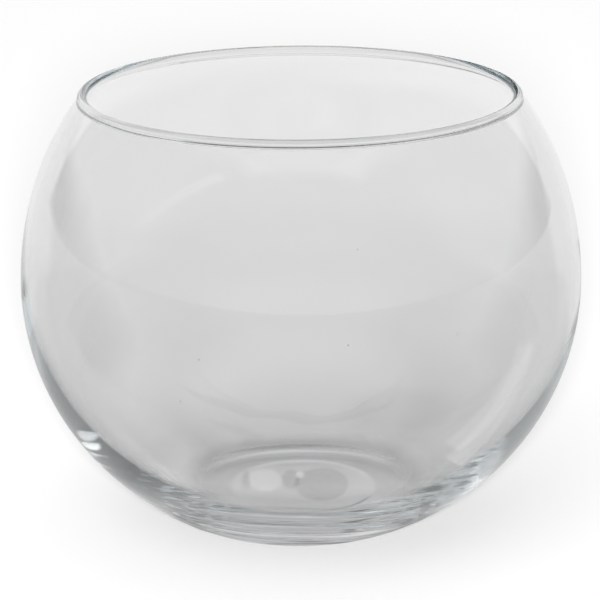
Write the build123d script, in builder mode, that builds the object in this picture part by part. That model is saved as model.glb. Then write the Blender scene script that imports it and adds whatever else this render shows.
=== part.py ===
from build123d import *
from math import sqrt
import os

# A clear glass rose bowl: one piece of glass, a flattened globe with a wide mouth.
# Lengths are in millimetres, the bowl stands on Z = 0 and its axis is Z.

# Driving dimensions of the outside
max_diameter = 152.0  # the widest circle of the belly
height = 118.0  # from the table to the top of the rim
belly_height = 66.0  # from the table up to the widest circle
rim_diameter = 119.0  # over the outside of the rim bead
rim_bead_diameter = 2.6  # the fire-polished bead round the mouth
rim_crease_radius = 0.4  # where the bead melts into the wall
foot_diameter = 64.0  # where the belly's curve would meet the table
foot_edge_radius = 4.0  # rounding from the belly into the foot

# Driving dimensions of the inside
wall = 1.5  # thickness from the belly up to the rim
base_thickness = 3.4  # from the table up to the middle of the inside floor
floor_diameter = 56.0  # where the inside floor would meet the inside wall
floor_dish = 0.3  # the floor's rise from its middle to its edge
floor_corner_radius = 18.0  # rounding from the inside floor into the wall

# Driving dimensions of the kick, the shallow hollow under the base
kick_diameter = 46.0
kick_rise = 1.2
kick_edge_radius = 1.2  # the hollow's rounded lip


def ellipse_arc(widest_radius, end_radius, end_height):
    """Part of an upright ellipse, from its widest point at the belly to a given end.

    The middle control point is where the tangents of the two ends meet, and its weight,
    the cosine of half the turn, makes the curve an exact ellipse."""
    share = end_radius / widest_radius
    corner_height = belly_height + (end_height - belly_height) / (1 + share)
    return Bezier(
        (widest_radius, belly_height),
        (widest_radius, corner_height),
        (end_radius, end_height),
        weights=[1, sqrt((1 + share) / 2), 1],
    )


def cap_sphere(cap_radius, rise):
    """The radius of the sphere whose cap is cap_radius wide and rise high."""
    return (cap_radius**2 + rise**2) / (2 * rise)


outer_radius = max_diameter / 2
inner_radius = outer_radius - wall
foot_radius = foot_diameter / 2
floor_radius = floor_diameter / 2
floor_edge_height = base_thickness + floor_dish
kick_radius = kick_diameter / 2

# The middle of the wall runs up an ellipse into the middle of the bead, and the wall's
# two faces lie half a wall to each side of it
bead_radius = rim_bead_diameter / 2
bead_centre = (rim_diameter / 2 - bead_radius, height - bead_radius)
shoulder_share = bead_centre[0] / (outer_radius - wall / 2)
half_wall = (wall / 2 * shoulder_share, wall / 2 * sqrt(1 - shoulder_share**2))
outer_lip = (bead_centre[0] + half_wall[0], bead_centre[1] + half_wall[1])
inner_lip = (bead_centre[0] - half_wall[0], bead_centre[1] - half_wall[1])

with BuildPart() as glass_bowl:
    # Half of the bowl's section, turned once round the axis
    with BuildSketch(Plane.XZ):
        with BuildLine():
            kick_sphere = cap_sphere(kick_radius, kick_rise)
            kick = RadiusArc((0, kick_rise), (kick_radius, 0), kick_sphere)
            foot = Line(kick @ 1, (foot_radius, 0))
            heel = ellipse_arc(outer_radius, foot_radius, 0)
            outer_shoulder = ellipse_arc(outer_radius, *outer_lip)
            lip = Line(outer_lip, inner_lip)
            inner_shoulder = ellipse_arc(inner_radius, *inner_lip)
            well = ellipse_arc(inner_radius, floor_radius, floor_edge_height)
            floor_sphere = cap_sphere(floor_radius, floor_dish)
            floor = RadiusArc((0, base_thickness), well @ 1, -floor_sphere)
            middle = Line(floor @ 0, kick @ 0)
        make_face()
        with Locations(bead_centre):
            Circle(bead_radius)
    revolve(axis=Axis.Z)

    # The edges that the fire and the mould leave soft, each picked by where it lies
    rings = glass_bowl.edges().filter_by(GeomType.CIRCLE).filter_by(Plane.XY)
    floor_corner = rings.sort_by_distance((floor_radius, 0, floor_edge_height))[0]
    foot_edge = rings.sort_by_distance((foot_radius, 0, 0))[0]
    kick_lip = rings.sort_by_distance((kick_radius, 0, 0))[0]
    bead_creases = rings.sort_by_distance((bead_centre[0], 0, bead_centre[1]))[:2]
    fillet(floor_corner, floor_corner_radius)
    fillet(foot_edge, foot_edge_radius)
    fillet(kick_lip, kick_edge_radius)
    fillet(bead_creases, rim_crease_radius)

glass_bowl.part.label = "glass_bowl"

os.makedirs("parts", exist_ok=True)
export_step(glass_bowl.part, "parts/glass_bowl.step")
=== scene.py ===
# %% [markdown]
# Clear glass is the hardest thing to draw, because nearly all of what it shows is something else.
# This lesson makes one rose bowl: a flattened globe of thin glass with a wide mouth.
# The bowl is a single piece, so the work goes into three things: a true section with a real wall,
# the small marks that hot glass keeps, and a studio that gives the glass something to bend and mirror.

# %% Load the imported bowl
from math import acos, cos, pi, radians, sin, sqrt

import bpy
import numpy as np
from mathutils import Matrix, Vector


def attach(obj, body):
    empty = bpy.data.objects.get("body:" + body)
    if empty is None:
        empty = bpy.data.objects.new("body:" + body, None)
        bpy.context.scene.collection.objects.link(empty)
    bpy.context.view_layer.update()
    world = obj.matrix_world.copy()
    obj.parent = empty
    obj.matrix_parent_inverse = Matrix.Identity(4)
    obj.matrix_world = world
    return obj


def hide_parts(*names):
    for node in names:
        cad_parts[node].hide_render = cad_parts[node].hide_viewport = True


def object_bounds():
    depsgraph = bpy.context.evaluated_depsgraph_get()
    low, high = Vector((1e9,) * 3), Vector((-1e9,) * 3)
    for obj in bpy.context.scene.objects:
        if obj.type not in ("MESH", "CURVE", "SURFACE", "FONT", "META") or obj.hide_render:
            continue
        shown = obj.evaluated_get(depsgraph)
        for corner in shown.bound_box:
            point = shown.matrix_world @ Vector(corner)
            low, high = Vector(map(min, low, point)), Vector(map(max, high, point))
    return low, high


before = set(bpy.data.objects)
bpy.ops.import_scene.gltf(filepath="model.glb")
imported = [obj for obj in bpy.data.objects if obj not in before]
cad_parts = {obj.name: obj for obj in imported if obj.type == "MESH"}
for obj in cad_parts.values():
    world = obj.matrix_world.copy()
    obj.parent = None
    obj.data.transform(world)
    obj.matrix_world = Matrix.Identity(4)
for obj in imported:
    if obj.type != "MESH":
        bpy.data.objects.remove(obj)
cad_low, cad_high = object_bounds()
MM = 0.001
print("solid model, mm:", [round((b - a) / MM, 2) for a, b in zip(cad_low, cad_high)])

# %% [markdown]
# The picture is taken with a long lens from a little above the rim, so the mouth shows as a slim ellipse.
# The camera could be placed by eye, but its height, distance and slight roll come from fitting the bowl's
# outline and its rim to a picture 600 pixels wide. The lens then follows from the pixels per unit of angle.

# %% Camera
PICTURE_SIDE = 600
FOCAL_PIXELS = 2932.5
SENSOR_WIDTH = 36.0
CAMERA_DISTANCE = 0.8
CAMERA_ELEVATION = radians(16.5)
CAMERA_ROLL = radians(0.35)
AIM = Vector((-0.3, 0, 59.3)) * MM
CLIP_START = 0.01

camera_data = bpy.data.cameras.new("camera")
camera_data.sensor_width = SENSOR_WIDTH
camera_data.lens = SENSOR_WIDTH * FOCAL_PIXELS / PICTURE_SIDE
camera_data.clip_start = CLIP_START
camera = bpy.data.objects.new("camera", camera_data)
bpy.context.scene.collection.objects.link(camera)
camera_back = Vector((0, -cos(CAMERA_ELEVATION), sin(CAMERA_ELEVATION)))
camera_turn = (-camera_back).to_track_quat("-Z", "Y").to_matrix().to_4x4()
camera_roll = Matrix.Rotation(-CAMERA_ROLL, 4, "Z")
camera.matrix_world = Matrix.Translation(AIM + camera_back * CAMERA_DISTANCE) @ camera_turn @ camera_roll
bpy.context.scene.camera = camera
print("lens, mm:", round(camera_data.lens, 1))

# %% [markdown]
# The section of the bowl is half a slice through the glass. It could be drawn by hand as a spline, but
# every stretch of it is a known curve: ellipses for the two faces of the wall, shallow spheres for the
# inside floor and for the kick, the hollow under the base that leaves a ring to stand on.
# Melted glass has no sharp corners, so a smooth maximum joins two curves with a soft one.

# %% Sizes of the section, in metres
outer_radius = (cad_high.x - cad_low.x) / 2
bowl_height = cad_high.z - cad_low.z
belly_height = 66.0 * MM
rim_radius = 59.5 * MM
bead_radius = 1.3 * MM
wall = 1.5 * MM
foot_radius = 32.0 * MM
base_thickness = 3.4 * MM
floor_radius = 28.0 * MM
floor_dish = 0.3 * MM
kick_radius = 23.0 * MM
kick_rise = 0.6 * MM
foot_softness = 0.37 * MM
kick_softness = 0.5 * MM
floor_softness = 2.5 * MM
crease_softness = 0.25 * MM
inner_radius = outer_radius - wall


def smooth_max(a, b, softness):
    """The larger of a and b, with the corner between them rounded where they are within softness."""
    near = np.maximum(softness - np.abs(a - b), 0)
    return np.maximum(a, b) + near**2 / (4 * softness)


def ellipse_axis(rise, radius, widest):
    """The upright half-axis of an ellipse that narrows from widest to radius over a height of rise."""
    return rise / sqrt(1 - (radius / widest) ** 2)


def sphere_drop(radius, cap_radius, cap_rise):
    """How far a sphere falls away from its pole at a radius, for a cap of known width and rise."""
    sphere = (cap_radius**2 + cap_rise**2) / (2 * cap_rise)
    return sphere - np.sqrt(sphere**2 - radius**2)


heel_axis = ellipse_axis(belly_height, foot_radius, outer_radius)
floor_edge_height = base_thickness + floor_dish
well_axis = ellipse_axis(belly_height - floor_edge_height, floor_radius, inner_radius)
print("upright half-axes outside and inside, mm:", round(heel_axis / MM, 2), round(well_axis / MM, 2))


# %% Underside and inside floor, as heights over a radius
def underside(radius):
    """Height of the underside: a dome for the kick, a flat ring to stand on, then the heel's ellipse."""
    kick = kick_rise - sphere_drop(radius, kick_radius, kick_rise)
    heel = belly_height - heel_axis * np.sqrt(1 - (radius / outer_radius) ** 2)
    return smooth_max(smooth_max(kick, 0, kick_softness), heel, foot_softness)


def inside_floor(radius):
    """Height of the inside: a shallow dish in the middle, then the ellipse of the inner wall."""
    dish = base_thickness + sphere_drop(radius, floor_radius, floor_dish)
    well = belly_height - well_axis * np.sqrt(1 - (radius / inner_radius) ** 2)
    return smooth_max(dish, well, floor_softness)


print("glass at the middle of the base, mm:", round((inside_floor(0.0) - underside(0.0)) / MM, 2))


# %% Wall above the belly, and the rim
def shoulder_and_rim(count, bead_count):
    """The wall above the belly: half its thickness to each side of a middle ellipse, swollen near the
    rim to the bead's circle, with half a circle round the top. Points crowd towards the rim."""
    middle_radius = outer_radius - wall / 2
    centre = np.array([rim_radius - bead_radius, bowl_height - bead_radius])
    axis = ellipse_axis(centre[1] - belly_height, centre[0], middle_radius)
    turn = acos(centre[0] / middle_radius) * np.sin(np.linspace(0, pi / 2, count))
    middle = np.stack([middle_radius * np.cos(turn), belly_height + axis * np.sin(turn)], axis=1)
    normal = np.stack([np.cos(turn) / middle_radius, np.sin(turn) / axis], axis=1)
    normal /= np.linalg.norm(normal, axis=1, keepdims=True)
    below = np.linalg.norm(middle - centre, axis=1)
    bead = np.sqrt(np.maximum(bead_radius**2 - below**2, 0))
    half = smooth_max(bead, np.full(count, wall / 2), crease_softness)[:, None]
    half[-1] = bead_radius
    along = np.array([-normal[-1, 1], normal[-1, 0]])
    round_top = np.linspace(0, pi, bead_count + 2)[1:-1, None]
    cap = centre + bead_radius * (np.cos(round_top) * normal[-1] + np.sin(round_top) * along)
    return np.concatenate([middle + half * normal, cap, (middle - half * normal)[::-1]])


print("thickness of the wall and of the bead, mm:", wall / MM, 2 * bead_radius / MM)

# %% The whole section, from the middle of the underside round the rim to the middle of the floor
KICK_EDGE = 20 * MM
UNDERSIDE_EDGE = 40 * MM
FLOOR_EDGE = 36 * MM
KICK_POINTS = 28
RING_POINTS = 50
HEEL_POINTS = 120
SHOULDER_POINTS = 50
BEAD_POINTS = 15
WELL_POINTS = 50
FLOOR_POINTS = 36


def ellipse_run(widest, axis, start, end, count):
    """Radius and height along an ellipse about the belly, between two turns from its widest point."""
    turn = np.linspace(start, end, count)
    return np.stack([widest * np.cos(turn), belly_height + axis * np.sin(turn)], axis=1)


def section():
    """Radius and height all the way round the glass, starting and ending on the axis."""
    under_radius = np.concatenate([
        np.linspace(0, KICK_EDGE, KICK_POINTS, endpoint=False),
        np.linspace(KICK_EDGE, UNDERSIDE_EDGE, RING_POINTS, endpoint=False),
    ])
    under = np.stack([under_radius, underside(under_radius)], axis=1)
    heel_start = -acos(UNDERSIDE_EDGE / outer_radius)
    heel = ellipse_run(outer_radius, heel_axis, heel_start, 0, HEEL_POINTS)[:-1]
    shoulder = shoulder_and_rim(SHOULDER_POINTS, BEAD_POINTS)
    well_end = -acos(FLOOR_EDGE / inner_radius)
    well = ellipse_run(inner_radius, well_axis, 0, well_end, WELL_POINTS)[1:]
    floor_radii = np.linspace(FLOOR_EDGE, 0, FLOOR_POINTS)[1:]
    floor = np.stack([floor_radii, inside_floor(floor_radii)], axis=1)
    return np.concatenate([under, heel, shoulder, well, floor])


outline = section()
print("section points:", len(outline), "top, mm:", round(outline[:, 1].max() / MM, 3))

# %% [markdown]
# Hot glass is never as true as its drawing. This bowl was blown into a mould, and it keeps the marks:
# the wall is a little thicker on one side, both faces wander by hundredths of a millimetre, the heel has
# fine chill ripples on the side that met the cold mould first, and the foot has slumped to one side.
# A bump texture could fake them, but glass bends light by its true shape, front and back together, so
# each mark is a small move of the surface itself, written as a formula over angle and height.


# %% Shapes that the marks are made of
WANDER_ROUNDS = np.array([2, 3, 5])[:, None, None]
WANDER_RISE = np.array([140, 80, 46])[:, None, None] * MM


def ease(value, start, end):
    """Goes smoothly from 0 at start to 1 at end."""
    share = np.clip((value - start) / (end - start), 0, 1)
    return share * share * (3 - 2 * share)


def hump(value, middle, reach):
    """A smooth hill: 1 at the middle, falling to 0 at reach to either side."""
    return np.cos(np.clip((value - middle) / reach, -1, 1) * pi / 2) ** 2


def wander(angle, height, phase):
    """Slow waves from -1 to 1: the mean of three sines of the angle, each with its own rounds, and each
    leaning by one whole wave over its own rise in height."""
    lean = 2 * pi / WANDER_RISE
    return np.sin(WANDER_ROUNDS * angle + lean * height + phase * WANDER_ROUNDS).mean(axis=0)


print("waves round the wall:", WANDER_ROUNDS.ravel())


# %% Marks on the outside
OUTER_WANDER = 0.03 * MM
OUTER_PHASE = 0.4
CALM_HEEL = (4 * MM, 16 * MM)
CALM_RIM = (104 * MM, 112 * MM)
RIPPLE_PITCH = 2.7 * MM
RIPPLE_DEPTH = 0.055 * MM
RIPPLE_STARTS = 3
RIPPLE_WAVER = [(2, 1.1, 0.6), (5, 0.6, 2.0), (9, 0.35, 0.0)]
RIPPLE_STEADY, RIPPLE_VARYING = 0.7, 0.3
RIPPLE_PATCHES, RIPPLE_PATCH_PHASE = 3, 1.0
RIPPLE_FRONT = (0.05, 0.55)
RIPPLE_FOOT = (0.4 * MM, 2.2 * MM)
RIPPLE_TOP = (11 * MM, 18 * MM)


def chill_ripples(angle, height):
    """Level waves over the front of the heel, one pitch from crest to crest in height: a sine of height,
    screwed a little round the axis and wavering, that fades out at the foot, above the heel and behind.
    The waver is a sum of sines of the angle, each with its rounds, its size and its phase."""
    waver = sum(size * np.sin(rounds * angle + phase) for rounds, size, phase in RIPPLE_WAVER)
    uneven = RIPPLE_STEADY + RIPPLE_VARYING * np.sin(RIPPLE_PATCHES * angle + RIPPLE_PATCH_PHASE)
    uneven = uneven * ease(-np.sin(angle), *RIPPLE_FRONT)
    fade = ease(height, *RIPPLE_FOOT) * (1 - ease(height, *RIPPLE_TOP))
    return uneven * fade * np.sin(2 * pi * height / RIPPLE_PITCH + RIPPLE_STARTS * angle + waver)


def outer_marks(angle, height):
    """How far the outside moves along its normal: slow waves that only ever go inwards, and the ripples."""
    fade = ease(height, *CALM_HEEL) * (1 - ease(height, *CALM_RIM))
    slow = OUTER_WANDER * fade * (wander(angle, height, OUTER_PHASE) - 1)
    return slow + RIPPLE_DEPTH * chill_ripples(angle, height)


print("ripple depth and pitch, mm:", RIPPLE_DEPTH / MM, RIPPLE_PITCH / MM)


# %% Marks on the inside, and the slumped foot
INNER_WANDER = 0.08 * MM
INNER_PHASE = 1.9
CALM_FLOOR = (6 * MM, 26 * MM)
FOLD_DEPTH = 0.06 * MM
FOLDS_ROUND = 7
FOLD_WAVER, FOLD_WAVER_ROUNDS = 0.9, 3
FOLD_LEAN = 2.2 * MM
FOLD_HEIGHT, FOLD_REACH = 10 * MM, 9 * MM
SLUMP = 0.5 * MM
SLUMP_ANGLE, SLUMP_ROUND = radians(-130), radians(50)
SLUMP_HEIGHT, SLUMP_REACH = 3 * MM, 10 * MM


def inner_marks(angle, height, radius):
    """How far the inside moves along its normal: slow waves over the wall, and soft folds in the well."""
    calm = ease(radius, *CALM_FLOOR) * (1 - ease(height, *CALM_RIM))
    turned = FOLDS_ROUND * angle + FOLD_WAVER * np.sin(FOLD_WAVER_ROUNDS * angle) + height / FOLD_LEAN
    folds = np.sin(turned) * hump(height, FOLD_HEIGHT, FOLD_REACH)
    return calm * (INNER_WANDER * wander(angle, height, INNER_PHASE) + FOLD_DEPTH * folds)


def slump(angle, height):
    """Outward swelling of the foot on one side, where the hot heel sagged before it set."""
    round_from = (angle - SLUMP_ANGLE + pi) % (2 * pi) - pi
    return SLUMP * hump(round_from, 0, SLUMP_ROUND) * hump(height, SLUMP_HEIGHT, SLUMP_REACH)


print("slump of the foot, mm:", SLUMP / MM)


# %% [markdown]
# The surface is the section carried round the axis: a grid of turns by section points, with one shared
# vertex at each pole. The marks then move the grid's points along the section's normals.
# A Screw modifier could turn the section too, but then nothing could vary from turn to turn.


# %% Turn the section into a closed surface
TURNS = 248
THICK_SIDE_SHIFT = 0.25 * MM
THICK_SIDE_FADE = (30 * MM, 100 * MM)


def turned_faces(turns, places):
    """Faces of a grid that closes on itself round the axis, with a fan of triangles at each pole."""
    here = np.arange(turns)[:, None] * places + np.arange(places - 1)
    there = np.roll(here, -1, axis=0)
    quads = np.stack([here, there, there + 1, here + 1], axis=2).reshape(-1, 4)
    first = np.arange(turns) * places
    after = np.roll(first, -1)
    low = np.stack([np.full(turns, turns * places), after, first], axis=1)
    high = np.stack([np.full(turns, turns * places + 1), first + places - 1, after + places - 1], axis=1)
    return quads, np.concatenate([low, high])


def turned_points(angle, radius, height, poles):
    """Points of a grid of turns by places, followed by the two poles."""
    grid = np.stack([np.cos(angle) * radius, np.sin(angle) * radius, height], axis=2)
    return np.concatenate([grid.reshape(-1, 3), [[0, 0, poles[0]], [0, 0, poles[1]]]])


def marked_bowl(profile, turns):
    """Points and faces of the whole bowl: the section's radius and height at each place, moved along the
    section's normal by the marks of its own face, then turned round the axis. The inside is moved a
    little to one side low down, which makes the wall thicker on the other."""
    angle = np.linspace(-pi, pi, turns, endpoint=False)[:, None]
    run = np.gradient(profile, axis=0)
    normal = np.stack([run[:, 1], -run[:, 0]], axis=1) / np.linalg.norm(run, axis=1, keepdims=True)
    radius, height = profile[1:-1].T
    outside = np.arange(len(radius)) < profile[:, 1].argmax()
    move = np.where(outside, outer_marks(angle, height), inner_marks(angle, height, radius))
    moved_radius = radius + move * normal[1:-1, 0] + slump(angle, height) * outside
    moved_height = height + move * normal[1:-1, 1]
    points = turned_points(angle, moved_radius, moved_height, profile[[0, -1], 1])
    thick_side = THICK_SIDE_SHIFT * (1 - ease(points[:, 2], *THICK_SIDE_FADE))
    inside = np.append(np.tile(~outside, turns), [False, True])
    points[:, 0] += thick_side * inside
    return points, *turned_faces(turns, len(radius))


points, quads, triangles = marked_bowl(outline, TURNS)
print("bowl triangles:", 2 * len(quads) + len(triangles))

# %% [markdown]
# The glass also holds a few seeds: pinhead air bubbles that never rose out of the melt.
# A seed is a hollow in the glass, so its surface is a tiny sphere that faces its own middle, part of the
# same mesh as the wall around it. Each is given by the angle and height where it sits in the wall.

# %% Seeds in the wall
SEED_RADIUS = 0.17 * MM
SEED_TURNS = 10
SEED_RINGS = 5
SEED_PLACES = [(11.3, 92.8), (-24.2, 53.0), (-19.8, 65.0), (8.8, 69.6), (31.3, 69.2), (-71.8, 80.7)]


def wall_middle(height):
    """Radius of the middle of the wall at a height: an ellipse above the belly and one below it."""
    above = ellipse_axis(bowl_height - belly_height, rim_radius - bead_radius, outer_radius - wall / 2)
    axis = above if height > belly_height else (heel_axis + well_axis) / 2
    return (outer_radius - wall / 2) * sqrt(1 - ((height - belly_height) / axis) ** 2)


def seed(degrees_round, height):
    """Points and faces of one bubble: half a circle turned round, moved into the wall and turned
    inside out."""
    latitude = np.linspace(-pi / 2, pi / 2, SEED_RINGS + 2)[1:-1]
    angle = np.linspace(-pi, pi, SEED_TURNS, endpoint=False)[:, None]
    ball_radius = SEED_RADIUS * np.cos(latitude)
    ball_height = np.broadcast_to(SEED_RADIUS * np.sin(latitude), (SEED_TURNS, SEED_RINGS))
    ball = turned_points(angle, ball_radius, ball_height, (-SEED_RADIUS, SEED_RADIUS))
    around = radians(degrees_round)
    reach = wall_middle(height)
    ball += [reach * sin(around), -reach * cos(around), height]
    ball_quads, ball_triangles = turned_faces(SEED_TURNS, SEED_RINGS)
    return ball, ball_quads[:, ::-1], ball_triangles[:, ::-1]


for degrees_round, height_mm in SEED_PLACES:
    ball, ball_quads, ball_triangles = seed(degrees_round, height_mm * MM)
    quads = np.concatenate([quads, ball_quads + len(points)])
    triangles = np.concatenate([triangles, ball_triangles + len(points)])
    points = np.concatenate([points, ball])
print("seeds:", len(SEED_PLACES))

# %% [markdown]
# The points and faces now become one piece of glass. Adding them one by one through an edit mesh would be
# slow for so many, so whole arrays are handed over at once. Smooth shading hides the facets, and the piece
# rides on the frame's only body, in place of the plain solid.


# %% Put the surface into a mesh
def mesh_object(name, points, quads, triangles):
    """A smooth-shaded mesh object from arrays of points, four-sided and three-sided faces."""
    mesh = bpy.data.meshes.new(name)
    mesh.vertices.add(len(points))
    mesh.vertices.foreach_set("co", points.astype(np.float32).ravel())
    corners = np.concatenate([quads.ravel(), triangles.ravel()])
    mesh.loops.add(len(corners))
    mesh.loops.foreach_set("vertex_index", corners.astype(np.int32))
    sizes = np.concatenate([np.full(len(quads), 4), np.full(len(triangles), 3)])
    mesh.polygons.add(len(sizes))
    mesh.polygons.foreach_set("loop_start", np.concatenate([[0], np.cumsum(sizes)[:-1]]).astype(np.int32))
    mesh.polygons.foreach_set("use_smooth", np.ones(len(sizes), bool))
    mesh.update(calc_edges=True)
    mesh.validate()
    piece = bpy.data.objects.new(name, mesh)
    bpy.context.scene.collection.objects.link(piece)
    return piece


bowl = mesh_object("rose_bowl_glass", points, quads, triangles)
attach(bowl, "root")
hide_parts("glass_bowl")
lowest = points[:, 2].min()
widest = np.abs(points[:, :2]).max()
print("lowest and widest, mm:", round(lowest / MM, 4), round(widest / MM, 4))

# %% [markdown]
# A material is a graph of nodes. Made by hand it takes a line for each node and each link, and the idea
# gets lost among them. So one small class wraps a socket and turns arithmetic into Math nodes, and one
# method adds any other node: its settings first, then a value or a link for each socket.


# %% Node helpers
class Wire:
    """A value on its way through a material. Arithmetic on it adds Math nodes."""

    def __init__(self, sheet, socket):
        self.sheet = sheet
        self.socket = socket

    def maths(self, operation, first, second):
        return self.sheet.node("ShaderNodeMath", {"operation": operation}, {0: first, 1: second})

    def __add__(self, other):
        return self.maths("ADD", self, other)

    def __radd__(self, other):
        return self.maths("ADD", other, self)

    def __sub__(self, other):
        return self.maths("SUBTRACT", self, other)

    def __rsub__(self, other):
        return self.maths("SUBTRACT", other, self)

    def __mul__(self, other):
        return self.maths("MULTIPLY", self, other)

    def __rmul__(self, other):
        return self.maths("MULTIPLY", other, self)

    def __truediv__(self, other):
        return self.maths("DIVIDE", self, other)

    def __rtruediv__(self, other):
        return self.maths("DIVIDE", other, self)

    def __pow__(self, other):
        return self.maths("POWER", self, other)


class NodeSheet:
    """The nodes of one material, lamp or world."""

    def __init__(self, owner):
        owner.use_nodes = True
        self.tree = owner.node_tree
        self.tree.nodes.clear()

    def node(self, kind, settings=None, sockets=None, output=0):
        """Adds a node: its settings first, then a value or a link for each named or numbered socket."""
        made = self.tree.nodes.new(kind)
        for name, value in (settings or {}).items():
            setattr(made, name, value)
        for name, value in (sockets or {}).items():
            if isinstance(value, Wire):
                self.tree.links.new(value.socket, made.inputs[name])
            else:
                made.inputs[name].default_value = value
        return Wire(self, made.outputs[output]) if len(made.outputs) else None

    def output(self, wire, name):
        """Another output of the node that a wire comes from."""
        return Wire(self, wire.socket.node.outputs[name])


# %% Small helpers that every graph uses
def ramp(sheet, value, start, end, low, high):
    """Eases from low to high while value goes from start to end."""
    return sheet.node("ShaderNodeMapRange", {"interpolation_type": "SMOOTHSTEP"}, {
        "Value": value, "From Min": start, "From Max": end, "To Min": low, "To Max": high})


def larger(sheet, first, second):
    """The larger of two values."""
    return sheet.node("ShaderNodeMath", {"operation": "MAXIMUM"}, {0: first, 1: second})


def parts(sheet, vector):
    """The three parts of a vector: to the side, to the back and up."""
    axes = sheet.node("ShaderNodeSeparateXYZ", {}, {"Vector": vector})
    return [sheet.output(axes, name) for name in "XYZ"]


print("node helpers ready")

# %% [markdown]
# Clear glass has hardly any colour of its own. A thin wall looks white, and grey-blue shows only where
# light travels far inside it, along the rim and in the heel. Tinting the surface would colour every part
# alike, so an absorbing volume fills the glass instead and the shape does the shading.
# The surface is fire-polished, so smooth that its roughness is nothing, except on the ring that the bowl
# stands on, which tables have scuffed to a patchy grey. Cords, streaks where the melt was mixed unevenly,
# make the glass a hair greyer here and there, and the mould leaves a skin that waves by a few microns.

# %% Glass: masks over the surface
SCUFF_HEIGHT = (0.05 * MM, 0.16 * MM)
SCUFF_SCALE = 2400.0
SCUFF_PATCHES = (0.35, 0.70)
CORD_SCALE = 9.0
CORD_STRETCH = (1.0, 1.0, 5.0)
CORD_PATCHES = (0.42, 0.66)
SKIN_SCALE = 130.0

glass = bpy.data.materials.new("clear_glass")
sheet = NodeSheet(glass)
place = sheet.node("ShaderNodeTexCoord", output="Object")
height = parts(sheet, place)[2]
grit = sheet.node("ShaderNodeTexNoise", {}, {"Vector": place, "Scale": SCUFF_SCALE, "Detail": 3.0})
scuffs = ramp(sheet, height, *SCUFF_HEIGHT, 1, 0) * ramp(sheet, grit, *SCUFF_PATCHES, 0, 1)
drawn_out = sheet.node("ShaderNodeMapping", {}, {"Vector": place, "Scale": CORD_STRETCH})
melt = sheet.node("ShaderNodeTexNoise", {}, {"Vector": drawn_out, "Scale": CORD_SCALE, "Distortion": 0.6})
cords = ramp(sheet, melt, *CORD_PATCHES, 0, 1)
skin = sheet.node("ShaderNodeTexNoise", {}, {"Vector": place, "Scale": SKIN_SCALE, "Detail": 1.0})
print("glass masks: scuffed ring below, mm:", SCUFF_HEIGHT[1] / MM)

# %% Glass: surface and volume
GLASS_IOR = 1.52
ABSORPTION_PER_METRE = 5.0
ABSORPTION_COLOUR = (0.66, 0.72, 0.74, 1)
CLEAR_GLASS = (0.948, 0.948, 0.948, 1)
CORD_GLASS = (0.940, 0.942, 0.942, 1)
SCUFFED_GLASS = (0.935, 0.94, 0.94, 1)
SCUFF_ROUGHNESS = 0.10
SKIN_DEPTH = 0.004 * MM


def blend_colours(sheet, share, first, second):
    """Goes from the first colour to the second as share goes from 0 to 1."""
    return sheet.node("ShaderNodeMix", {"data_type": "RGBA"}, {0: share, 6: first, 7: second}, output=2)


tint = blend_colours(sheet, cords, CLEAR_GLASS, CORD_GLASS)
waves = sheet.node("ShaderNodeBump", {}, {"Strength": 1.0, "Distance": SKIN_DEPTH, "Height": skin})
surface = sheet.node("ShaderNodeBsdfPrincipled", {}, {
    "Base Color": blend_colours(sheet, scuffs, tint, SCUFFED_GLASS),
    "Roughness": scuffs * SCUFF_ROUGHNESS,
    "Normal": waves,
    "IOR": GLASS_IOR,
    "Transmission Weight": 1.0,
})
volume = sheet.node("ShaderNodeVolumeAbsorption", {}, {
    "Color": ABSORPTION_COLOUR,
    "Density": ABSORPTION_PER_METRE,
})
sheet.node("ShaderNodeOutputMaterial", {}, {"Surface": surface, "Volume": volume})
bowl.data.materials.append(glass)
print("glass nodes:", len(sheet.tree.nodes))

# %% [markdown]
# The bowl stands on white paper. Lit paper alone would come out grey at the edges of the picture, so part
# of its brightness is its own glow, shown to the camera, to mirrors and to glass. The rest is plain light
# on paper, and that share still takes the bowl's shadow.

# %% Paper floor
FLOOR_SIDE = 12.0
FLOOR_DROP = 0.4 * MM
FLOOR_GLOW = 0.40
PAPER_WHITE = (0.97, 0.97, 0.97, 1)
PLAIN_WHITE = (1, 1, 1, 1)


def square(side):
    """Corners of a level square about the origin, as pairs of numbers."""
    half = side / 2
    return [(-half, -half), (half, -half), (half, half), (-half, half)]


def flat_piece(name, corners):
    """A stage piece of one flat face."""
    mesh = bpy.data.meshes.new(name)
    mesh.from_pydata(corners, [], [range(len(corners))])
    piece = bpy.data.objects.new(name, mesh)
    bpy.context.scene.collection.objects.link(piece)
    return piece


def level_corners(corners, height):
    """Corners of a flat piece that lies level."""
    return [(x, y, height) for x, y in corners]


floor = flat_piece("floor", level_corners(square(FLOOR_SIDE), -FLOOR_DROP))
paper = bpy.data.materials.new("paper_floor")
sheet = NodeSheet(paper)
diffuse = sheet.node("ShaderNodeBsdfDiffuse", {}, {"Color": PAPER_WHITE})
glow = sheet.node("ShaderNodeEmission", {}, {"Color": PLAIN_WHITE, "Strength": 1.0})
path = sheet.node("ShaderNodeLightPath")
seen = path + sheet.output(path, "Is Glossy Ray") + sheet.output(path, "Is Transmission Ray")
seen = sheet.node("ShaderNodeMath", {"operation": "MINIMUM"}, {0: seen, 1: 1.0})
mixed = sheet.node("ShaderNodeMixShader", {}, {"Fac": seen * FLOOR_GLOW, 1: diffuse, 2: glow})
sheet.node("ShaderNodeOutputMaterial", {}, {"Surface": mixed})
floor.data.materials.append(paper)
print("paper floor, m:", FLOOR_SIDE)

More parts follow.
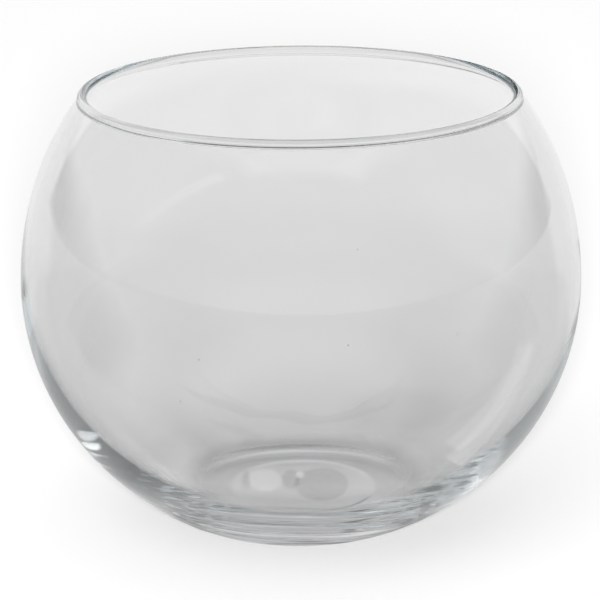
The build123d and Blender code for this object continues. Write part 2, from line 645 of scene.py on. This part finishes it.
# %% [markdown]
# A clear bowl shows the room, bent and mirrored, so the room has to be made with care. A picture of a real
# room could be wrapped round the scene, but a few soft walls do the same: pale paper behind, grey at the
# sides, dark in front where the camera stands, and a bright ceiling. Each is a level of grey over the
# direction that a ray leaves in, joined by smooth ramps. Sideways and back are sines of that direction.

# %% Room
FRONT_LEVEL = 0.12
SIDE_LEVEL = 0.42
WALL_TURN = (-0.3, 0.65)
HIGH_FRONT_LIFT = 0.40
HIGH_FRONT_TURN = (-0.5, -0.9)
HIGH_FRONT_RISE = (0.25, 0.45)
BACKDROP_LEVEL = 0.86
BACKDROP_TURN = (0.678, 0.702)
BACKDROP_LEAN = 0.025
BACKDROP_TOP = (0.5, 0.75)
CEILING_LEVEL = 1.00
CEILING_RISE = (0.68, 0.85)
TINY = 0.000001

world = bpy.data.worlds.new("studio")
bpy.context.scene.world = world
sheet = NodeSheet(world)


def compass(sheet, spot):
    """Which way a spot lies, seen from above: across from -1 at the left to 1 at the right, and back from
    -1 in front to 1 behind. The tiny number keeps the middle from dividing by nothing."""
    side, depth, _ = parts(sheet, spot)
    level = (side * side + depth * depth + TINY) ** 0.5
    return side / level, depth / level


direction = sheet.node("ShaderNodeTexCoord")
across, back = compass(sheet, direction)
up = parts(sheet, direction)[2]
high_front = ramp(sheet, back, *HIGH_FRONT_TURN, 0, 1) * ramp(sheet, up, *HIGH_FRONT_RISE, 0, 1)
walls = ramp(sheet, back, *WALL_TURN, FRONT_LEVEL, SIDE_LEVEL) + high_front * HIGH_FRONT_LIFT
backdrop = ramp(sheet, back + across * BACKDROP_LEAN, *BACKDROP_TURN, 0, 1)
backdrop = backdrop * ramp(sheet, up, *BACKDROP_TOP, 1, 0)
room = walls + backdrop * (BACKDROP_LEVEL - walls)
room = room + ramp(sheet, up, *CEILING_RISE, 0, 1) * (CEILING_LEVEL - room)
print("room levels, front to ceiling:", FRONT_LEVEL, SIDE_LEVEL, BACKDROP_LEVEL, CEILING_LEVEL)

# %% [markdown]
# Two small lights give the rim and the shoulder their highlights. A soft panel high on the left is only
# mirrored, never looked through, so it lies as a veil on the shoulder. A narrow strip of brighter backdrop
# lights the crease under the bead at the back right. A Light Path node tells such rays apart.

# %% Panel and strip
PANEL_AZIMUTH = radians(-95)
PANEL_ELEVATION = radians(75)
PANEL_CORE = radians(12)
PANEL_EDGE = radians(24)
PANEL_LIFT = 1.6
FIRST_MIRROR = (1.2, 1.8)
STRIP_LEFT = (0.02, 0.04)
STRIP_RIGHT = (0.09, 0.12)
STRIP_FOOT = (0.08, 0.12)
STRIP_TOP = (0.42, 0.50)
STRIP_BACK = (0.5, 0.9)
STRIP_LIFT = 0.5
FIRST_PASS = (2.2, 2.8)


def glow_towards(azimuth, elevation, core, edge):
    """1 within core of a direction, easing to 0 at edge from it. Azimuth 0 is the camera's side."""
    towards = (sin(azimuth) * cos(elevation), -cos(azimuth) * cos(elevation), sin(elevation))
    dot = {"operation": "DOT_PRODUCT"}
    near = sheet.node("ShaderNodeVectorMath", dot, {0: direction, 1: towards}, output="Value")
    return ramp(sheet, near, cos(edge), cos(core), 0, 1)


bounces = sheet.node("ShaderNodeLightPath", output="Ray Depth")
mirrored = sheet.output(bounces, "Is Glossy Ray") * ramp(sheet, bounces, *FIRST_MIRROR, 1, 0)
panel = glow_towards(PANEL_AZIMUTH, PANEL_ELEVATION, PANEL_CORE, PANEL_EDGE)
strip = ramp(sheet, across, *STRIP_LEFT, 0, 1) * ramp(sheet, across, *STRIP_RIGHT, 1, 0)
strip = strip * ramp(sheet, up, *STRIP_FOOT, 0, 1) * ramp(sheet, up, *STRIP_TOP, 1, 0)
strip = strip * ramp(sheet, back, *STRIP_BACK, 0, 1) * ramp(sheet, bounces, *FIRST_PASS, 1, 0)
room = room + panel * mirrored * PANEL_LIFT + strip * STRIP_LIFT
print("panel lift and strip lift:", PANEL_LIFT, STRIP_LIFT)

# %% [markdown]
# Seen from behind, the bowl would show the dark front of the room and look like smoked glass. A studio is
# set up again when the camera moves, and here the count of bounces does that. Light that goes straight
# through crosses two faces of each wall, so it has two or four bounces, while light that is mirrored once
# has an odd count. So straight light sees pale paper in front and at the sides, as it does behind.
# Light mirrored once in the crease under the bead goes up, and meets a dark patch of the ceiling there,
# which helps to draw the line along the front of the mouth.

# %% Straight light
PALE_BESIDE = (0.55, 0.35)
ONE_WALL, MIRRORED_INSIDE, TWO_WALLS = 2, 3, 4
HALF_A_COUNT = 0.5
CREASE_RISE = (0.70, 0.85)
CREASE_LEVEL = 0.10


def after_bounces(sheet, count):
    """1 for light that has just left the glass after this many bounces: two for each wall that it crosses,
    and one more for each time that it is mirrored inside."""
    path = sheet.node("ShaderNodeLightPath", output="Ray Depth")
    counted = sheet.node("ShaderNodeMath", {"operation": "COMPARE"}, {0: path, 1: count, 2: HALF_A_COUNT})
    return counted * sheet.output(path, "Is Transmission Ray")


straight = after_bounces(sheet, TWO_WALLS) * ramp(sheet, back, *PALE_BESIDE, 0, 1)
room = room + straight * (BACKDROP_LEVEL - room)
crease = after_bounces(sheet, MIRRORED_INSIDE) * ramp(sheet, up, *CREASE_RISE, 0, 1)
room = room + crease * (CREASE_LEVEL - room)
print("straight light sees a level of", BACKDROP_LEVEL)

# %% [markdown]
# Light that enters the wall at the heel or along the rim can't get out at once. It runs round inside the
# glass, mirrored dozens of times, and comes out far from where it went in. This is what draws the dark and
# bright crescents at the sides of any glass bowl. In a real room it meets lamps, windows and dark corners
# that a plain studio lacks, so rays with many bounces see a dimmer room of their own: dark to the right and
# behind, paler in front, above and to the left.

# %% Room that trapped light sees
TRAPPED_BOUNCES = (9, 10)
LONG_TRAPPED = (13, 17)
TRAPPED_LEVEL = 0.37
DIM_RIGHT = (0.6, 0.95)
DIM_RIGHT_SHARE = 0.75
DIM_BACK = (0.3, 0.8)
DIM_BACK_LEAN = 0.7
DIM_BACK_SHARE = 0.8
DIM_DROP = 0.17
BASE_EDGE_LIFT = 0.20
FRONT_TURN = (-0.55, -0.9)
FRONT_LIFT = 0.22
HIGH_RISE = (0.72, 0.85)
HIGH_LIFT = 0.40
BACK_LEFT = (1.05, 1.30)
BACK_LEFT_END = (0.75, 0.95)
BACK_LEFT_LIFT = 0.32

long_trapped = ramp(sheet, bounces, *LONG_TRAPPED, 0, 1)
to_back = ramp(sheet, back + across * DIM_BACK_LEAN, *DIM_BACK, 0, 1)
dim_right = ramp(sheet, across, *DIM_RIGHT, 0, DIM_RIGHT_SHARE)
dim = larger(sheet, dim_right, to_back * long_trapped * DIM_BACK_SHARE)
trapped_room = (
    TRAPPED_LEVEL
    - dim * DIM_DROP
    + to_back * (1 - long_trapped) * BASE_EDGE_LIFT
    + ramp(sheet, back, *FRONT_TURN, 0, FRONT_LIFT)
    + ramp(sheet, up, *HIGH_RISE, 0, HIGH_LIFT) * (1 - to_back)
    + ramp(sheet, back - across, *BACK_LEFT, 0, BACK_LEFT_LIFT) * ramp(sheet, back, *BACK_LEFT_END, 1, 0)
)
print("trapped light sees a level of", TRAPPED_LEVEL)

# %% [markdown]
# That room has windows too. One on each side lights the heel and the rim. The count of bounces says where
# trapped light came in: about thirty at the heel on the left, fewer along the rim, and more than fifty at
# the two far ends of the rim, where it goes round and round and would else come out almost black.

# %% Windows that trapped light sees
RIGHT_WINDOW = (radians(90), radians(18), radians(5.5), radians(9.5))
LEFT_WINDOW = (radians(-104), radians(26), radians(10), radians(20))
LEFT_WINDOW_LIFT = 0.45
RIM_BOUNCES = (28, 26)
RIM_WINDOW_LIFT = 1.6
HEEL_BOUNCES_START = (27, 29)
HEEL_BOUNCES_END = (31, 33)
HEEL_WINDOW_LIFT = 1.9
RIM_FRONT = (0.25, 0.10)
RIM_LEFT = (-0.75, -0.9)
RIM_LEFT_LIFT = 1.0
RIM_RIGHT = (0.75, 0.9)
RIM_RIGHT_LIFT = 0.55
RIM_END_BOUNCES = (52, 58)
RIM_END_TURN = (-0.85, -0.65)
RIM_END_LIFT = 0.9

at_rim = ramp(sheet, bounces, *RIM_BOUNCES, 0, 1)
at_heel = ramp(sheet, bounces, *HEEL_BOUNCES_START, 0, 1) * ramp(sheet, bounces, *HEEL_BOUNCES_END, 1, 0)
rim_sides = ramp(sheet, across, *RIM_LEFT, 0, RIM_LEFT_LIFT)
rim_sides = rim_sides + ramp(sheet, across, *RIM_RIGHT, 0, RIM_RIGHT_LIFT)
rim_ends = ramp(sheet, bounces, *RIM_END_BOUNCES, 0, RIM_END_LIFT) * ramp(sheet, back, *RIM_END_TURN, 0, 1)
trapped_room = (
    trapped_room
    + glow_towards(*RIGHT_WINDOW) * (at_rim * RIM_WINDOW_LIFT + at_heel * HEEL_WINDOW_LIFT)
    + glow_towards(*LEFT_WINDOW) * LEFT_WINDOW_LIFT
    + at_rim * ramp(sheet, back, *RIM_FRONT, 0, 1) * rim_sides
    + rim_ends
)
brightness = room + ramp(sheet, bounces, *TRAPPED_BOUNCES, 0, 1) * (trapped_room - room)
background = sheet.node("ShaderNodeBackground", {}, {"Color": PLAIN_WHITE, "Strength": brightness})
sheet.node("ShaderNodeOutputWorld", {}, {"Surface": background})
print("world nodes:", len(sheet.tree.nodes))

# %% [markdown]
# Photographers stand cards round a glass, out of the picture, to draw its edges: pale ones for light edges
# and black ones, called flags, for dark edges. These cards do the same, but the pale ones glow with painted
# light of their own. Only the glass sees them, they cast no shadow, and each one is paint: how bright it
# glows, and how solid.


# %% Cards that only the glass sees
def card(name, corners, paint):
    """A flat card that glows: paint gives its brightness and how solid it is at a spot."""
    piece = flat_piece(name, corners)
    material = bpy.data.materials.new(name)
    sheet = NodeSheet(material)
    strength, solid = paint(sheet, sheet.node("ShaderNodeTexCoord", output="Object"))
    shine = sheet.node("ShaderNodeEmission", {}, {"Color": PLAIN_WHITE, "Strength": strength})
    clear = sheet.node("ShaderNodeBsdfTransparent")
    mixed = sheet.node("ShaderNodeMixShader", {}, {"Fac": solid, 1: clear, 2: shine})
    sheet.node("ShaderNodeOutputMaterial", {}, {"Surface": mixed})
    piece.data.materials.append(material)
    piece.visible_camera = False
    piece.visible_diffuse = False
    piece.visible_shadow = False
    print(name, "nodes:", len(sheet.tree.nodes))


# %% [markdown]
# The base is the thickest glass, and the kick under it works as a weak lens. On a real bowl it shows a pale
# pool with a bright lip at the back and a dark one in front, and in the pool a small image of a window and
# of the dark things beside it. A bare studio has none of those, so they are painted light and shade: soft
# ovals on the card under the base, where the lens gathers its light from, ringed by a painted contact
# shadow.

# %% Ovals of light under the base
# Painted light and shade under the base: the pool, painted reflections of a window and of dark things, and
# a painted glint.
POOL = ((0, -8 * MM), (21.2 * MM, 27 * MM), (1.04, 0.94))
WINDOW_IMAGE = ((-11 * MM, -0.5 * MM), (4.8 * MM, 10.5 * MM), (1.15, 0.85))
WINDOW_BAR = ((-16.6 * MM, -2 * MM), (1.3 * MM, 8.5 * MM), (1.3, 0.7))
DARK_IMAGE = ((5.5 * MM, -3.5 * MM), (7.8 * MM, 15 * MM), (1.08, 0.92))
DARK_SPOT = ((-3.4 * MM, 1 * MM), (2.6 * MM, 9 * MM), (1.2, 0.8))
GLINT = ((-0.8 * MM, 5 * MM), (1.3 * MM, 3.2 * MM), (1.4, 0.4))
IMAGE_LIFTS = [
    (WINDOW_IMAGE, 0.13),
    (WINDOW_BAR, -0.10),
    (DARK_IMAGE, -0.12),
    (DARK_SPOT, -0.12),
    (GLINT, 0.24),
]


def oval_reach(side, depth, middle, half):
    """How far a spot lies from the middle of an oval: 1 on its edge."""
    across = (side - middle[0]) / half[0]
    along = (depth - middle[1]) / half[1]
    return (across * across + along * along) ** 0.5


def oval(sheet, side, depth, shape):
    """1 in the middle of an oval and 0 outside it, with a soft edge. The shape gives the oval's middle, its
    half sizes, and the reaches where its edge starts and ends."""
    middle, half, edge = shape
    return ramp(sheet, oval_reach(side, depth, middle, half), *edge, 0, 1)


print("images in the pool:", len(IMAGE_LIFTS))

# %% Light under the base
POOL_LEVEL = 0.58
POOL_FRONT = (-10 * MM, -22 * MM)
POOL_FRONT_DROP = 0.16
LIP_INSIDE = (0.90, 0.96)
LIP_OUTSIDE = (0.97, 1.03)
BRIGHT_LIP = (0, 12 * MM)
BRIGHT_LIP_LEAN = 0.3
BRIGHT_LIP_LIFT = 0.10
DARK_LIP = (-24 * MM, -32 * MM)
DARK_LIP_LEAN = 0.5
DARK_LIP_DROP = 0.35
# The painted contact shadow (halo) round the pool.
CONTACT_SHADOW_LEVEL = 0.45
CONTACT_SHADOW_SIDE = (21 * MM, 30 * MM)
CONTACT_SHADOW_SIDE_DROP = 0.10
CONTACT_SHADOW_FRONT = (-26 * MM, -34 * MM)
CONTACT_SHADOW_FRONT_LIFT = 0.20
CONTACT_SHADOW_EDGE = (1.45, 2.15)


def base_light(sheet, side, depth):
    """Painted brightness of the card under the base, and how far it counts: the pool, its painted bright
    and dark lips, the painted images in it, and a painted contact shadow round it that is darker at the
    sides and paler in front."""
    reach = oval_reach(side, depth, *POOL[:2])
    pool = oval(sheet, side, depth, POOL)
    lip = ramp(sheet, reach, *LIP_INSIDE, 0, 1) * ramp(sheet, reach, *LIP_OUTSIDE, 1, 0)
    # A painted highlight on the back lip, and painted shade on the front lip and over the front of the
    # pool.
    bright_lip = lip * ramp(sheet, depth + side * BRIGHT_LIP_LEAN, *BRIGHT_LIP, 0, BRIGHT_LIP_LIFT)
    dark_lip = lip * ramp(sheet, depth - side * DARK_LIP_LEAN, *DARK_LIP, 0, DARK_LIP_DROP)
    front = pool * ramp(sheet, depth, *POOL_FRONT, 0, POOL_FRONT_DROP)
    images = sum(oval(sheet, side, depth, shape) * lift for shape, lift in IMAGE_LIFTS)
    beside = (side * side) ** 0.5
    # The painted contact shadow round the pool, darker at the sides and paler in front.
    contact_shadow = CONTACT_SHADOW_LEVEL - ramp(sheet, beside, *CONTACT_SHADOW_SIDE, 0, CONTACT_SHADOW_SIDE_DROP)
    contact_shadow = contact_shadow + ramp(sheet, depth, *CONTACT_SHADOW_FRONT, 0, CONTACT_SHADOW_FRONT_LIFT)
    level = contact_shadow + pool * (POOL_LEVEL - contact_shadow) + images + bright_lip - dark_lip - front
    return level, ramp(sheet, reach, *CONTACT_SHADOW_EDGE, 1, 0)


print("pool and halo levels:", POOL_LEVEL, CONTACT_SHADOW_LEVEL)

# %% [markdown]
# Through the lower half of the bowl one sees the table, drawn in from far to the sides. It is dark in
# front, greyer beside the bowl, and pale again where the paper sweeps up behind it, which gives the two
# pale bands along the sides of the belly. Close behind the bowl a soft painted shadow lies to the right,
# standing for the bowl's own shadow, and the card is painted a little darker near the bowl as shade.
# One function gives these tones, all over the table.

# %% Tones of the table
TABLE_FRONT = 0.08
TABLE_SIDE = 0.70
TABLE_TURN = (-0.9, 0.0)
# Painted shade near the bowl, and the bowl's painted shadow close behind it to the right.
NEAR_DEPTH = (0.16, 0.04)
NEAR_DROP = 0.08
SHADE = ((31 * MM, 62 * MM), (20 * MM, 28 * MM), (1.3, 0.5))
SHADE_DROP = 0.12
CLEAR_HALF = 56 * MM
CLEAR_SPREAD = 0.205
BAND_SPREAD = 0.14
BAND_EDGE = (68.5 * MM, 74.5 * MM)
BAND_DEPTH = (0.20, 0.27)
FAR_SIDE_EDGE = (30 * MM, 60 * MM)
FAR_SIDE_TURN = (0.5, 0.6)
SWEEP_NEAR_LEVEL = 0.80
SWEEP_DEPTH = (0.25, 0.5)


def beyond_clear(sheet, side, depth):
    """How far a spot lies outside the clear paper behind the bowl, which widens with depth."""
    return (side * side) ** 0.5 - (larger(sheet, depth, 0.0) * CLEAR_SPREAD + CLEAR_HALF)


def table_level(sheet, side, depth, back):
    """Brightness of the table: a ramp from front to side, less a little near the bowl as painted shade and
    in the bowl's painted shadow, with the pale sweep in two bands and far to the sides."""
    # Painted shade: a little darker near the bowl, and darker again in the bowl's painted shadow.
    near = ramp(sheet, depth, *NEAR_DEPTH, 0, NEAR_DROP)
    shade = oval(sheet, side, depth, SHADE) * SHADE_DROP
    table = ramp(sheet, back, *TABLE_TURN, TABLE_FRONT, TABLE_SIDE) - near - shade
    band = ramp(sheet, (side * side) ** 0.5 - depth * BAND_SPREAD, *BAND_EDGE, 0, 1)
    band = band * ramp(sheet, depth, *BAND_DEPTH, 0, 1)
    far_side = ramp(sheet, beyond_clear(sheet, side, depth), *FAR_SIDE_EDGE, 0, 1)
    far_side = far_side * ramp(sheet, back, *FAR_SIDE_TURN, 0, 1)
    sweep_level = ramp(sheet, depth, *SWEEP_DEPTH, SWEEP_NEAR_LEVEL, BACKDROP_LEVEL)
    return table + larger(sheet, band, far_side) * (sweep_level - table)


print("table levels, front and side:", TABLE_FRONT, TABLE_SIDE)

# %% [markdown]
# The table card doesn't cover everything. Behind the bowl a strip stays clear, so the lit paper with the
# bowl's real shadow shows there, under a thin film of the card's grey that deepens it as painted shade.
# Straight light sees no card in front or at the sides either, beyond the ground close to the bowl.

# %% Cover of the table
COVER_EDGE = (-18 * MM, 6 * MM)
INSET = 20 * MM
INSET_DEPTH = (0.06, 0.15)
RIGHT_INSET = 10 * MM
RIGHT_INSET_SIDE = (0, 40 * MM)
RIGHT_INSET_DEPTH = (0.06, 0.10)
# The film is painted shade laid over the bowl's real shadow behind it.
FILM = 0.25
FILM_START = (0.03, 0.05)
FILM_END = (0.26, 0.36)
LEFT_LIGHT = 0.8
LEFT_LIGHT_SIDE = (0, -40 * MM)
LEFT_LIGHT_DEPTH = (0.08, 0.14)
FAR_DEPTH = (0.9, 1.3)
FRONT_DEPTH = (-45 * MM, -75 * MM)
GROUND_TURN = (-0.5, 0.0)
GROUND_BESIDE = 0.13
TWO_WALL_REACH = (0.05, 0.10)
ONE_WALL_REACH = (0.26, 0.34)


def film_behind(sheet, side, depth):
    """The thin film of painted shade behind the bowl: less on the left, more in the painted shadow,
    whole far away.
    """
    left_light = ramp(sheet, side, *LEFT_LIGHT_SIDE, 0, LEFT_LIGHT)
    left_light = left_light * ramp(sheet, depth, *LEFT_LIGHT_DEPTH, 1, 0)
    film = ramp(sheet, depth, *FILM_START, 0, FILM) * ramp(sheet, depth, *FILM_END, 1, 0)
    film = film * (1 - left_light) + oval(sheet, side, depth, SHADE) * SHADE_DROP
    return larger(sheet, film, ramp(sheet, depth, *FAR_DEPTH, 0, 1))


def straight_view(sheet, side, depth, back):
    """1 where straight light sees past the card: in front and beside, beyond the ground near the bowl."""
    radius = (side * side + depth * depth) ** 0.5
    ground = ramp(sheet, back, *GROUND_TURN, 0, GROUND_BESIDE)
    two_walls = after_bounces(sheet, TWO_WALLS) * ramp(sheet, radius - ground, *TWO_WALL_REACH, 0, 1)
    one_wall = after_bounces(sheet, ONE_WALL) * ramp(sheet, radius, *ONE_WALL_REACH, 0, 1)
    return larger(sheet, one_wall, two_walls) * ramp(sheet, back, *PALE_BESIDE, 0, 1)


print("film of grey behind the bowl:", FILM)

# %% Table
TABLE_DROP = 0.3 * MM


def table_paint(sheet, spot):
    """The table's brightness, and where it covers the lit paper."""
    side, depth, _ = parts(sheet, spot)
    back = compass(sheet, spot)[1]
    table = table_level(sheet, side, depth, back)
    under, under_base = base_light(sheet, side, depth)
    inset = ramp(sheet, depth, *INSET_DEPTH, 0, INSET)
    right_inset = ramp(sheet, side, *RIGHT_INSET_SIDE, 0, RIGHT_INSET)
    right_inset = right_inset * ramp(sheet, depth, *RIGHT_INSET_DEPTH, 1, 0)
    beyond = beyond_clear(sheet, side, depth) + inset + right_inset
    outside = larger(sheet, ramp(sheet, beyond, *COVER_EDGE, 0, 1), ramp(sheet, depth, *FRONT_DEPTH, 0, 1))
    covered = larger(sheet, outside, larger(sheet, under_base, film_behind(sheet, side, depth)))
    return table + under_base * (under - table), covered * (1 - straight_view(sheet, side, depth, back))


card("table_card", level_corners(square(FLOOR_SIDE), -TABLE_DROP), table_paint)

# %% [markdown]
# A pale strip on the table to the right is painted light: it stands for the light that the bowl gathers
# onto the table there, and draws the bright streak that runs up that side of the belly. It could be cut as
# a sharp shape, but a hard edge would show through the glass from the side, so its paint fades out.

# %% Streak card
STREAK_DROP = 0.2 * MM
STREAK_START, STREAK_END = 60 * MM, 230 * MM
STREAK_FRONT, STREAK_BACK = -70 * MM, 30 * MM
STREAK_DEPTH = -44 * MM
STREAK_SLANT = 0.26
STREAK_HALF = 8 * MM
STREAK_SPREAD = 0.07
STREAK_EDGE = (1.25, 0.75)
STREAK_FADE = (190 * MM, 230 * MM)
STREAK_SOLID = 0.8
STREAK_LEVEL = 1.08


def streak_paint(sheet, spot):
    """A painted strip of light that slants back and widens to the right, solid along its middle and soft
    at its edges.
    """
    side, depth, _ = parts(sheet, spot)
    along = side - STREAK_START
    off_middle = depth - STREAK_DEPTH - along * STREAK_SLANT
    reach = (off_middle * off_middle) ** 0.5 / (along * STREAK_SPREAD + STREAK_HALF)
    solid = ramp(sheet, reach, *STREAK_EDGE, 0, STREAK_SOLID) * ramp(sheet, side, *STREAK_FADE, 1, 0)
    return STREAK_LEVEL, solid


streak_corners = [
    (STREAK_START, STREAK_FRONT),
    (STREAK_END, STREAK_FRONT),
    (STREAK_END, STREAK_BACK),
    (STREAK_START, STREAK_BACK),
]
card("streak_card", level_corners(streak_corners, -STREAK_DROP), streak_paint)

# %% [markdown]
# A black flag stands above the far rim. Through the crease under the front bead one looks just over that
# rim, so the flag draws the thin dark line that marks the front of the mouth.

# %% Flag
FLAG_LEFT, FLAG_RIGHT = -34 * MM, 62 * MM
FLAG_FOOT, FLAG_TOP = 124 * MM, 175 * MM
FLAG_DEPTH = 66 * MM
BLACK, SOLID = 0.0, 1.0


def flag_paint(sheet, spot):
    """Black all over."""
    return BLACK, SOLID


flag_corners = [
    (FLAG_LEFT, FLAG_DEPTH, FLAG_FOOT),
    (FLAG_RIGHT, FLAG_DEPTH, FLAG_FOOT),
    (FLAG_RIGHT, FLAG_DEPTH, FLAG_TOP),
    (FLAG_LEFT, FLAG_DEPTH, FLAG_TOP),
]
card("dark_flag", flag_corners, flag_paint)

# %% [markdown]
# The lamps light the paper, and through it the glass. One is broad and far off, high on the left, for a
# soft shadow. The other stands close to the camera, so that its shadow falls behind the bowl, and its light
# doesn't fade with distance, which keeps the far paper as white as the near. Neither lamp is mirrored
# in the glass: the room and the cards are.

# %% Lamps
KEY_SHARE = 0.16
KEY_AZIMUTH = radians(-32)
KEY_ELEVATION = radians(46)
KEY_SOFTNESS = radians(45)
FRONT_SHARE = 0.31
FRONT_DISTANCE = 0.75
FRONT_SIZE = 0.03
FRONT_REACH = 0.15


def hide_from_glass(holder):
    """A lamp's own disc isn't mirrored or seen through the glass."""
    holder.visible_glossy = False
    holder.visible_transmission = False
    bpy.context.scene.collection.objects.link(holder)


def far_lamp(name, azimuth, elevation, softness, share):
    """A lamp so far off that its light is even: share is how much of a white floor's brightness it
    gives."""
    lamp = bpy.data.lights.new(name, "SUN")
    lamp.angle = softness
    lamp.energy = share * pi / sin(elevation)
    holder = bpy.data.objects.new(name, lamp)
    towards = Vector((sin(azimuth) * cos(elevation), -cos(azimuth) * cos(elevation), sin(elevation)))
    holder.rotation_euler = (-towards).to_track_quat("-Z", "Y").to_euler()
    hide_from_glass(holder)


def even_lamp(name, place, size, share, reach):
    """A small lamp whose light doesn't fade with distance: share is the floor brightness that it gives
    at the point that lies reach behind the bowl."""
    lamp = bpy.data.lights.new(name, "POINT")
    lamp.shadow_soft_size = size
    slope = place.z / (place - Vector((0, reach, 0))).length
    lamp.energy = 4 * pi * pi * share / slope
    sheet = NodeSheet(lamp)
    steady = sheet.node("ShaderNodeLightFalloff", {}, {"Strength": 1.0}, output="Constant")
    shine = sheet.node("ShaderNodeEmission", {}, {"Strength": steady})
    sheet.node("ShaderNodeOutputLight", {}, {"Surface": shine})
    holder = bpy.data.objects.new(name, lamp)
    holder.location = place
    hide_from_glass(holder)


far_lamp("key", KEY_AZIMUTH, KEY_ELEVATION, KEY_SOFTNESS, KEY_SHARE)
even_lamp("front", AIM + camera_back * FRONT_DISTANCE, FRONT_SIZE, FRONT_SHARE, FRONT_REACH)
print("floor brightness from the two lamps:", KEY_SHARE, FRONT_SHARE)

# %% [markdown]
# Rays that run round inside the rim meet the surface dozens of times, and a low limit would end them in
# black, so the limits are raised for this scene. The colours go to the picture as they are.

# %% Picture settings
MOST_BOUNCES = 192

scene = bpy.context.scene
scene.view_settings.view_transform = "Standard"
scene.cycles.max_bounces = MOST_BOUNCES
scene.cycles.transmission_bounces = MOST_BOUNCES
scene.cycles.glossy_bounces = MOST_BOUNCES
print("most bounces:", MOST_BOUNCES)
